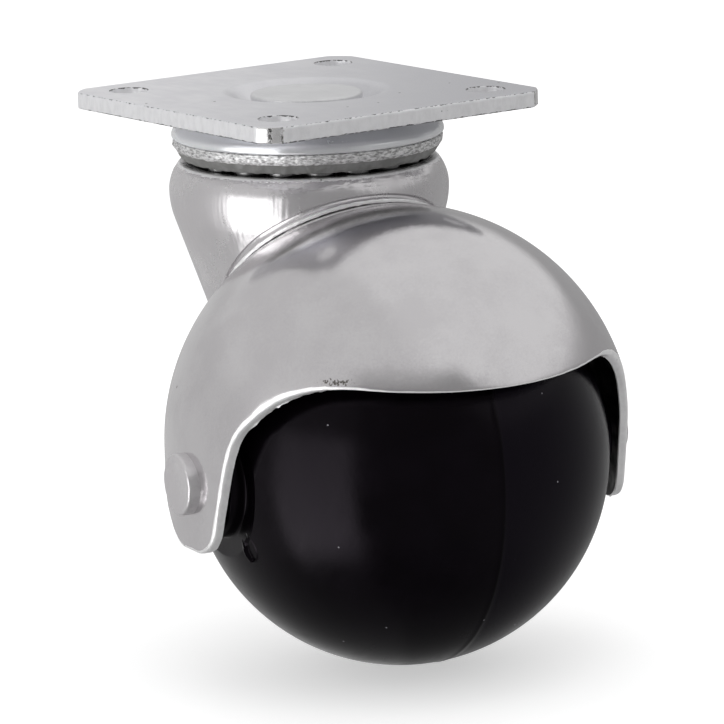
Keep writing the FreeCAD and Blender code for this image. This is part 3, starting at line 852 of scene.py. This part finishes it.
def horn_path(inset):
    """Outside of the horn from its lip to its foot, or the inside of its wall if inset."""
    belly = HORN_RADIUS - inset
    if inset == 0:
        start = [
            (CROWN_RADIUS - CROWN_RIM, CROWN_TOP, 0),
            (CROWN_RADIUS, CROWN_TOP, HORN_LIP_RADIUS),
            (HORN_RADIUS, SHOULDER_HEIGHT, SHOULDER_RADIUS),
        ]
    else:
        start = [(belly, TRACK_BOTTOM, 0)]
    base_height = HORN_BASE_HEIGHT + inset
    base = belly - (BELLY_HEIGHT - base_height) * tan(HORN_TAPER)
    limit = (base - SEAT_CLEARANCE) / tan((pi / 2 - HORN_TAPER) / 2)
    return rounded(start + [
        (belly, BELLY_HEIGHT, BELLY_RADIUS - inset),
        (base, base_height, min(HORN_BASE_RADIUS - inset, limit)),
        (0.0, base_height, 0),
    ])


def meets_dome(path, normals, turn, grow, distance):
    """Where a meridian of the horn, moved outwards, comes within a distance of the dome's centre."""
    before = None
    for index, (point, normal) in enumerate(zip(path, normals)):
        place = on_meridian(point + normal * grow, turn)
        gap = (place - dome_centre).length - distance
        if gap <= 0:
            if before is None:
                return index, place
            share = before[1] / (before[1] - gap)
            return index - 1 + share, before[0].lerp(place, share)
        before = (place, gap)
    raise ValueError("the horn's meridian does not reach the dome")


def sampled(path, end, count):
    """Points evenly spread along the first part of a path, up to a fractional index."""
    points = []
    for where in spread(0.0, end, count, last=True):
        index = min(int(where), len(path) - 2)
        points.append(path[index].lerp(path[index + 1], where - index))
    return points


def horn_column(turn, outside, outside_normals, inside, inside_normals):
    """One meridian of the horn: outside, fillet, lip, seat on the dome and inside."""
    top_shell = HOOD_RADIUS + FLANGE_THICKNESS
    end, centre = meets_dome(outside, outside_normals, turn, FLANGE_FILLET, top_shell + FLANGE_FILLET)
    column = [on_meridian(point, turn) for point in sampled(outside, end, HORN_OUTSIDE_ROWS)]
    from_wall = column[-1] - centre
    to_dome = (dome_centre - centre).normalized() * FLANGE_FILLET
    for step in range(1, FILLET_ROWS + 1):
        column.append(centre + from_wall.slerp(to_dome, step / FILLET_ROWS))
    lip = [
        (FLANGE_WIDTH - FLANGE_EDGE, top_shell),
        (FLANGE_WIDTH - FLANGE_EDGE * 0.3, top_shell - FLANGE_EDGE * 0.3),
        (FLANGE_WIDTH, top_shell - FLANGE_EDGE),
        (FLANGE_WIDTH, HOOD_RADIUS + FLANGE_LIFT),
        (FLANGE_WIDTH - FLANGE_GAP, HOOD_RADIUS + FLANGE_LIFT),
        (FLANGE_WIDTH - FLANGE_GAP, HOOD_RADIUS + SEAT_CLEARANCE),
    ]
    for grow, shell in lip:
        column.append(meets_dome(outside, outside_normals, turn, grow, shell)[1])
    end, seat = meets_dome(inside, inside_normals, turn, 0.0, HOOD_RADIUS + SEAT_CLEARANCE)
    column.append(seat)
    wall = [on_meridian(point, turn) for point in sampled(inside, end, HORN_INSIDE_ROWS)]
    return column + wall[-2::-1]


def build_horn():
    outside = horn_path(0)
    inside = horn_path(HORN_WALL)
    paths = (outside, outward(outside), inside, outward(inside))
    columns = [horn_column(turn, *paths) for turn in spread(0.0, tau, HORN_COLUMNS)]
    crown = rounded([
        (HORN_RADIUS - HORN_WALL, TRACK_BOTTOM, 0),
        (RACE_STEP_RADIUS, TRACK_BOTTOM, 0),
        (PITCH_RADIUS - GROOVE_RADIUS - HORN_WALL, CROWN_UNDERSIDE, 0),
        (CROWN_BORE, CROWN_UNDERSIDE, 0),
        (CROWN_BORE, CROWN_TOP, 0),
        *reversed(ball_groove(CROWN_TOP, -pi)),
        (CROWN_RADIUS - CROWN_RIM, CROWN_TOP, 0),
    ])
    mesh = bmesh.new()
    add_rows(mesh, list(zip(*columns)))
    # The crown inside the bearing gap gets the darker greased track steel as painted shade.
    add_rows(mesh, rings(crown, HORN_COLUMNS), material=1)

    def from_rim(point):
        return abs(hypot(point.x, point.y) - CROWN_RADIUS)

    def over_dome(point):
        return (point - dome_centre).length - HOOD_RADIUS

    def on_lip(point):
        return from_rim(point) < CROWN_RIM and point.z > CROWN_TOP - HORN_LIP_DEPTH

    def on_flange(point):
        return FLANGE_EDGE_START < over_dome(point) < FLANGE_THICKNESS + 0.05

    for face in mesh.faces:
        middle = face.calc_center_median()
        edge = CROWN_TOP - CROWN_EDGE + 0.15 * wander(middle, 0.5, 43)
        on_crown_edge = middle.z > edge and from_rim(middle) < 0.5
        if on_crown_edge or FLANGE_EDGE_START < over_dome(middle) < FLANGE_THICKNESS - 0.02:
            face.material_index = 2
    roughen(mesh, on_lip, 0.8, HORN_LIP_TEAR, 41)
    roughen(mesh, on_flange, 0.7, FLANGE_TEAR, 45)
    materials = [horn_nickel, shaded_track_steel, nickel_edge]
    finish_piece("horn_cup", mesh, materials, "swivel", ["horn"], swivel_turn)


class HoodOutline:
    """Side outline of the hood: the height of its cut edge over the axle, for a distance along it."""

    def __init__(self, inset):
        reach = HOOD_RADIUS + OUTLINE_MARGIN
        ear_lean = tan(EAR_SLOPE)
        scoop_lean = tan(SCOOP_SLOPE)
        run = (SCOOP_SETBACK - EAR_FRONT - BROW_HEIGHT * ear_lean) / (1 - ear_lean * scoop_lean)
        rear = EAR_HEEL + (EAR_DROP + REAR_EDGE_HEIGHT) / tan(REAR_SLOPE)
        path = rounded([
            (-reach, BROW_HEIGHT - (reach - SCOOP_SETBACK) * tan(BROW_SLOPE), 0),
            (-SCOOP_SETBACK, BROW_HEIGHT, BROW_RADIUS),
            (-SCOOP_SETBACK + run, BROW_HEIGHT - run * scoop_lean, SCOOP_RADIUS),
            (-EAR_FRONT + EAR_DROP * ear_lean, -EAR_DROP, EAR_TOE_RADIUS),
            (EAR_HEEL, -EAR_DROP, EAR_HEEL_RADIUS),
            (rear, REAR_EDGE_HEIGHT, REAR_EDGE_RADIUS),
            (reach, REAR_EDGE_HEIGHT, 0),
        ])
        moved = [point + normal * inset for point, normal in zip(path, outward(path))]
        self.along = [point.x for point in moved]
        self.height = [point.y for point in moved]

    def at(self, along):
        index = min(max(bisect.bisect_right(self.along, along), 1), len(self.along) - 1)
        start = self.along[index - 1]
        share = (along - start) / (self.along[index] - start)
        return self.height[index - 1] + (self.height[index] - self.height[index - 1]) * share


def hood_point(turn, angle, radius):
    """Point on a round-ended upright cylinder about the dome's centre, by its angle from the top."""
    if angle <= pi / 2:
        across = radius * sin(angle)
        height = radius * cos(angle)
    else:
        across = radius
        height = -(angle - pi / 2) * HOOD_RADIUS
    return Vector((across * cos(turn), across * sin(turn), height))


def hood_end(turn, radius, outline):
    """Angle from the top at which a meridian of the hood meets its cut edge."""
    low = 0.0
    high = pi / 2 + (EAR_DROP + DOME_RISE + OUTLINE_MARGIN) / HOOD_RADIUS
    for _ in range(HALVINGS):
        middle = (low + high) / 2
        point = hood_point(turn, middle, radius)
        if point.z + DOME_RISE > outline.at(point.y):
            low = middle
        else:
            high = middle
    return low


def hood_turns():
    """Meridians of the hood, spread evenly along its cut edge and round its dome."""
    outline = HoodOutline(0.0)
    lengths = [0.0]
    before = None
    even = HOOD_RADIUS * tau / HOOD_FINE_TURNS
    for turn in spread(0.0, tau, HOOD_FINE_TURNS, last=True):
        point = hood_point(turn, hood_end(turn, HOOD_RADIUS, outline), HOOD_RADIUS)
        if before is not None:
            along = (1 - HOOD_EVEN_SHARE) * (point - before).length
            lengths.append(lengths[-1] + along + HOOD_EVEN_SHARE * even)
        before = point
    turns = []
    for wanted in spread(0.0, lengths[-1], HOOD_COLUMNS):
        index = bisect.bisect_right(lengths, wanted) - 1
        share = (wanted - lengths[index]) / (lengths[index + 1] - lengths[index])
        turns.append(tau * (index + share) / HOOD_FINE_TURNS)
    return turns


def hood_column(turn, edge, bevelled, lipped):
    """One meridian of the hood: outside, worn and sheared edge, and inside."""
    corner_end = hood_end(turn, HOOD_RADIUS, edge)
    corner = hood_point(turn, corner_end, HOOD_RADIUS)
    ear_share = min(max((corner.y + SCOOP_SETBACK) / BROW_RADIUS + 1.0, 0.0), 1.0)
    width = BROW_BEVEL + (EAR_BEVEL - BROW_BEVEL) * ear_share
    from_wear = (corner.y + SCOOP_SETBACK - SCOOP_WEAR_PLACE) / SCOOP_WEAR_REACH
    width += SCOOP_WEAR * max(0.0, 1.0 - from_wear**2)
    width *= 1.0 + BEVEL_WANDER * wander(corner, 1.4, 51)
    skin_end = hood_end(turn, HOOD_RADIUS, bevelled)
    skin_end = corner_end + (skin_end - corner_end) * width / EAR_BEVEL
    outside = []
    for step in range(HOOD_OUTSIDE_ROWS + 1):
        outside.append(hood_point(turn, skin_end * (step / HOOD_OUTSIDE_ROWS), HOOD_RADIUS))
    skin = outside[-1]
    face_radius = HOOD_RADIUS - width
    face = hood_point(turn, hood_end(turn, face_radius, edge), face_radius)
    cut = []
    for step in range(1, HOOD_BEVEL_ROWS):
        part = step / HOOD_BEVEL_ROWS
        cut.append(skin * (1 - part) ** 2 + corner * 2 * part * (1 - part) + face * part**2)
    inner_radius = HOOD_RADIUS - HOOD_THICKNESS
    burr_radius = inner_radius + HOOD_BURR
    cut.append(face)
    for radius in spread(face_radius, burr_radius - face_radius, HOOD_FACE_ROWS)[1:]:
        place = hood_point(turn, hood_end(turn, radius, edge), radius)
        outwards = Vector((place.x, place.y, 0.0)).normalized()
        cut.append(place + outwards * (HOOD_TEAR * wander(place, 0.5, 61)))
    burr = HOOD_RAGGED * max(0.0, ragged(corner, 0.9, 0.4, 81, 83) + HOOD_RAGGED_BIAS) * ear_share
    burr_end = hood_end(turn, burr_radius, edge) + burr / HOOD_RADIUS
    cut.append(hood_point(turn, burr_end, burr_radius))
    inner_end = hood_end(turn, inner_radius, lipped)
    inside = []
    for step in range(HOOD_INSIDE_ROWS + 1):
        inside.append(hood_point(turn, inner_end * (1 - step / HOOD_INSIDE_ROWS), inner_radius))
    return outside, cut, inside


def build_hood():
    outlines = [HoodOutline(inset) for inset in (0.0, EAR_BEVEL, HOOD_BURR)]
    columns = [hood_column(turn, *outlines) for turn in hood_turns()]
    outside, cut, inside = ([list(row) for row in zip(*skin)] for skin in zip(*columns))
    mesh = bmesh.new()
    add_rows(mesh, outside)
    add_rows(mesh, [outside[-1]] + cut + [inside[0]], material=1)
    # The inside of the hood gets the near-black painted-shade material.
    add_rows(mesh, inside, material=2)
    place = swivel_turn @ Matrix.Translation(dome_centre)
    materials = [hood_nickel, nickel_edge, shaded_hood_inside]
    finish_piece("hood_shell", mesh, materials, "swivel", ["hood"], place)


def build_axle_rivet():
    head = HOOD_RADIUS + RIVET_HEAD_THICKNESS
    tail = HOOD_RADIUS + RIVET_TAIL_THICKNESS
    seat = HOOD_RADIUS - HOOD_THICKNESS / 2
    mesh = turned([
        *((RIVET_HEAD_RADIUS * share, -head + depth, bend) for share, depth, bend in RIVET_HEAD_DISH),
        (RIVET_HEAD_RADIUS, -head, RIVET_HEAD_EDGE),
        (RIVET_HEAD_RADIUS, -seat, RIVET_SEAT_ROUND),
        (AXLE_RADIUS, -seat, 0),
        (AXLE_RADIUS, seat, 0),
        (RIVET_TAIL_RADIUS, seat, RIVET_SEAT_ROUND),
        (RIVET_TAIL_RADIUS, tail, RIVET_TAIL_THICKNESS * RIVET_TAIL_DOME),
        (0.0, tail, 0),
    ], columns=RIVET_COLUMNS, closed=False)
    roughen(mesh, lambda point: abs(point.z) > HOOD_RADIUS - 0.2, 0.9, RIVET_DENT, 71)
    finish_piece("rivet_pin", mesh, [rivet_nickel], "swivel", ["axle_rivet"], along_axle)


def gate_axes():
    """Turn from the ball's axes to the gate mark's: its width, its length and outwards."""
    tilt = asin(GATE_RADIUS / BALL_RADIUS)
    untilt = Matrix.Rotation(-GATE_TWIST, 3, "Z") @ Matrix.Rotation(-tilt, 3, "X")
    return untilt @ Matrix.Rotation(pi / 2, 3, "Y") @ Matrix.Rotation(-GATE_TURN, 3, "X")


def gate_depth(place):
    """How far the leaf-shaped gate mark sinks the ball's surface at a point in the mark's axes."""
    half = GATE_LENGTH / 2
    side = GATE_WIDTH / 2
    if place.z < 0 or abs(place.y) >= half:
        return 0.0
    arc = (half**2 + side**2) / (2 * side)
    inward = sqrt(arc**2 - place.y**2) - (arc - side) - abs(place.x)
    if inward < 0:
        return -GATE_RIM * max(0.0, 1.0 + inward / GATE_SLOPE)
    return GATE_DEPTH * min(1.0, inward / GATE_SLOPE)


def on_ball(angle, rise=0.0):
    """Point of the ball's profile, by its angle from the left end of the axle."""
    radius = BALL_RADIUS + rise
    return Vector((radius * sin(angle), -radius * cos(angle)))


def ball_path():
    """Profile of the ball along its axle, from the left end of its bore to the right."""
    flat = sqrt(BALL_RADIUS**2 - BALL_FLAT_RADIUS**2)
    start = asin(BALL_FLAT_RADIUS / BALL_RADIUS)
    fine_end = asin((GATE_RADIUS + GATE_LENGTH) / BALL_RADIUS)
    parting = acos(-PARTING_OFFSET / BALL_RADIUS)
    ridge_half = PARTING_WIDTH / 2 / BALL_RADIUS
    before = parting - PARTING_REACH * ridge_half
    after = parting + PARTING_REACH * ridge_half
    left = spread(start, fine_end - start, BALL_GATE_ROWS)
    left += spread(fine_end, before - fine_end, BALL_LEFT_ROWS) + [before]
    right = spread(after, pi - start - after, BALL_RIGHT_ROWS, last=True)
    return [
        Vector((BORE_RADIUS, -HUB_END)),
        *rounded([
            (BORE_RADIUS + BORE_MARGIN, -HUB_END, 0),
            (HUB_RADIUS, -HUB_END, HUB_EDGE),
            (HUB_RADIUS, -flat, HUB_ROOT),
            (BALL_FLAT_RADIUS - BALL_FLAT_MARGIN, -flat, 0),
        ]),
        *(on_ball(angle) for angle in left),
        on_ball(parting - ridge_half),
        on_ball(parting, PARTING_HEIGHT),
        on_ball(parting + ridge_half),
        *(on_ball(angle) for angle in right),
        *rounded([
            (BALL_FLAT_RADIUS - BALL_FLAT_MARGIN, flat, 0),
            (HUB_RADIUS, flat, HUB_ROOT),
            (HUB_RADIUS, HUB_END, HUB_EDGE),
            (BORE_RADIUS, HUB_END, 0),
        ]),
    ]


def build_ball():
    gate_turn = GATE_TURN - pi / 2
    turns = spread(gate_turn - GATE_SPREAD, 2 * GATE_SPREAD, GATE_COLUMNS)
    turns += spread(gate_turn + GATE_SPREAD, tau - 2 * GATE_SPREAD, BALL_COLUMNS)
    rows = [[on_meridian(point, turn) for turn in turns] for point in ball_path()]
    to_axle = Matrix.Rotation(pi / 2, 3, "Y")
    to_gate = gate_axes()
    for row in rows:
        for point in row:
            depth = gate_depth(to_gate @ (to_axle @ point))
            if depth != 0 and point.length > BALL_RADIUS - BALL_SKIN:
                point *= (BALL_RADIUS - depth) / BALL_RADIUS
    mesh = bmesh.new()
    add_rows(mesh, rows, closed=True)
    finish_piece("ball_moulding", mesh, [ball_plastic], "ball", ["ball"], along_axle)


build_top_plate()
build_dust_cover()
build_upper_race()
build_kingpin()
build_horn()
build_hood()
build_axle_rivet()
build_ball()

# The bearing balls and thrust washer get a darkened greased steel as painted shade in the bearing gap.
for name, node in frame["nodes"].items():
    if name.startswith("bearing_ball") or name == "thrust_washer":
        node.data.materials.clear()
        node.data.materials.append(bearing_steel)


# Camera at the photograph's viewpoint, for a frame of 724 x 724 pixels

FRAME_SIZE = 724
FOCAL_PIXELS = 5000.0
SENSOR_WIDTH = 36.0
CAMERA_AZIMUTH = radians(-36.59)
CAMERA_ELEVATION = radians(11.85)
CAMERA_ROLL = radians(-1.49)
CAMERA_DISTANCE = 0.60692
CAMERA_CLIP_START = 0.01
ORIGIN_PIXEL = (306.43, 89.63)


def add_camera():
    data = bpy.data.cameras.new("camera")
    data.sensor_width = SENSOR_WIDTH
    data.lens = FOCAL_PIXELS * SENSOR_WIDTH / FRAME_SIZE
    data.clip_start = CAMERA_CLIP_START
    aim = Matrix.Rotation(CAMERA_AZIMUTH, 4, "Z") @ Matrix.Rotation(pi / 2 - CAMERA_ELEVATION, 4, "X")
    aim = aim @ Matrix.Rotation(CAMERA_ROLL, 4, "Z")
    across, down = ((pixel - FRAME_SIZE / 2) / FOCAL_PIXELS for pixel in ORIGIN_PIXEL)
    camera = bpy.data.objects.new("camera", data)
    camera.matrix_world = aim @ Matrix.Translation(Vector((-across, down, 1.0)) * CAMERA_DISTANCE)
    bpy.context.scene.collection.objects.link(camera)
    bpy.context.scene.camera = camera


# Studio light and floor: radiances, and limits as azimuths from the camera's or as heights of rays

ROOF_LEFT = 0.85
ROOF_RIGHT = 0.98
ROOF_SPLIT = -0.17
ROOF_SPLIT_LEAN = 0.43
ROOF_SPLIT_SOFTNESS = 0.03
ROOF_EDGE = 0.31
ROOF_EDGE_FRONT = 0.66
ROOF_EDGE_SOFTNESS = 0.08
ROOF_FRONT_LEFT = radians(-40.0)
ROOF_FRONT_RIGHT = radians(50.0)
ROOF_FRONT_SOFTNESS = radians(16.0)
WALL_FRONT = 0.38
WALL_FRONT_LOW = 0.4
WALL_LEFT = 0.76
WALL_RIGHT = 0.45
WALL_BACK = 0.48
WALL_FOOT = 0.5
LEFT_TO_FRONT = (radians(-30.0), radians(-20.0))
FRONT_TO_RIGHT = (radians(35.0), radians(60.0))
RIGHT_TO_BACK = (radians(98.0), radians(125.0))
LOW_TO_FRONT = (sin(radians(-32.0)), sin(radians(-10.0)))
FOOT_TO_WALL = (-0.9, -0.45)
CARD_RADIANCE = 4.0
CARD_LEFT = radians(-72.0)
CARD_RIGHT = radians(-26.0)
CARD_BOTTOM = sin(radians(-42.0))
CARD_FOOT_SOFTNESS = 0.11
CARD_TOP = sin(radians(19.0))
CARD_SOFTNESS = 0.06
CARD_TOP_SHARE = 0.7
FLOOR_SIZE = 6.0
FLOOR_GAP = 0.0003
FLOOR_GLOW = 0.5
FLOOR_COLOUR = (0.86, 0.86, 0.86)
WHITE = (1.0, 1.0, 1.0)
KEY_SIZE = 0.5
KEY_HEIGHT = 0.6
KEY_ENERGY = 0.6


def facing(azimuth):
    """Level direction from the object, by its azimuth to the right of the camera's."""
    turn = CAMERA_AZIMUTH - pi / 2 + azimuth
    return Vector((cos(turn), sin(turn), 0.0))


def seen_directly(tree):
    """One for rays from the camera or through glass, which see a plain white ground."""
    path = add(tree, "ShaderNodeLightPath").outputs
    return math_node("MAXIMUM", path["Is Camera Ray"], path["Is Transmission Ray"])


def add_world():
    """Studio in the reflections: bright roof, bright card on the left and dark wall about the camera."""
    world = bpy.data.worlds.new("studio")
    world.use_nodes = True
    tree = world.node_tree
    tree.nodes.clear()
    ray = add(tree, "ShaderNodeTexCoord").outputs["Generated"]
    across = along_direction(ray, facing(pi / 2))
    ahead = along_direction(ray, facing(0.0))
    height = along_direction(ray, (0.0, 0.0, 1.0))
    azimuth = math_node("ARCTAN2", across, ahead)
    lean = math_node("MULTIPLY", ahead, ROOF_SPLIT_LEAN)
    beyond_split = math_node("SUBTRACT", across, lean)
    roof = past(beyond_split, ROOF_SPLIT, ROOF_SPLIT_SOFTNESS, ROOF_LEFT, ROOF_RIGHT)
    right = mapped(azimuth, *RIGHT_TO_BACK, WALL_RIGHT, WALL_BACK)
    front = mapped(height, *LOW_TO_FRONT, WALL_FRONT_LOW, WALL_FRONT)
    wall = blended(mapped(azimuth, *FRONT_TO_RIGHT), front, right)
    wall = blended(mapped(azimuth, *LEFT_TO_FRONT), WALL_LEFT, wall)
    wall = math_node("MULTIPLY", wall, mapped(height, *FOOT_TO_WALL, WALL_FOOT, 1.0))
    foot = past(height, CARD_BOTTOM, CARD_FOOT_SOFTNESS)
    top = past(height, CARD_TOP, CARD_SOFTNESS, 1.0, 0.0)
    across_card = between(azimuth, CARD_LEFT, CARD_RIGHT, CARD_SOFTNESS)
    on_card = math_node("MULTIPLY", across_card, math_node("MULTIPLY", foot, top))
    card = mapped(height, CARD_BOTTOM, CARD_TOP, CARD_RADIANCE, CARD_RADIANCE * CARD_TOP_SHARE)
    wall = blended(on_card, wall, card)
    in_front = between(azimuth, ROOF_FRONT_LEFT, ROOF_FRONT_RIGHT, ROOF_FRONT_SOFTNESS)
    above_edge = math_node("SUBTRACT", height, blended(in_front, ROOF_EDGE, ROOF_EDGE_FRONT))
    under_roof = past(above_edge, 0.0, ROOF_EDGE_SOFTNESS, 1.0, 0.0)
    strength = blended(seen_directly(tree), blended(under_roof, roof, wall), 1.0)
    background = add(tree, "ShaderNodeBackground", Strength=strength)
    output = add(tree, "ShaderNodeOutputWorld")
    feed(output.inputs["Surface"], background.outputs[0])
    bpy.context.scene.world = world


def add_floor():
    """White floor that takes the shadow and stays out of the reflections, which show the studio."""
    mesh = bpy.data.meshes.new("floor")
    half = FLOOR_SIZE / 2
    height = cad_box[0][2] - FLOOR_GAP
    corners = [(-half, -half, height), (half, -half, height), (half, half, height), (-half, half, height)]
    mesh.from_pydata(corners, [], [(0, 1, 2, 3)])
    material, shader, _ = start_material("floor_white")
    glow = math_node("MULTIPLY", seen_directly(material.node_tree), FLOOR_GLOW)
    coat(shader, Base_Color=FLOOR_COLOUR, Roughness=0.7, Specular_IOR_Level=0.1)
    coat(shader, Emission_Color=WHITE, Emission_Strength=glow)
    mesh.materials.append(material)
    floor = bpy.data.objects.new("floor", mesh)
    floor.visible_glossy = False
    bpy.context.scene.collection.objects.link(floor)


def add_key():
    """Soft overhead light for the floor and its shadow."""
    data = bpy.data.lights.new("key", "AREA")
    data.size = KEY_SIZE
    data.energy = KEY_ENERGY
    key = bpy.data.objects.new("key", data)
    key.location = (0.0, 0.0, KEY_HEIGHT)
    key.visible_glossy = False
    bpy.context.scene.collection.objects.link(key)


add_camera()
add_world()
add_floor()
add_key()
bpy.context.scene.view_settings.view_transform = "Standard"
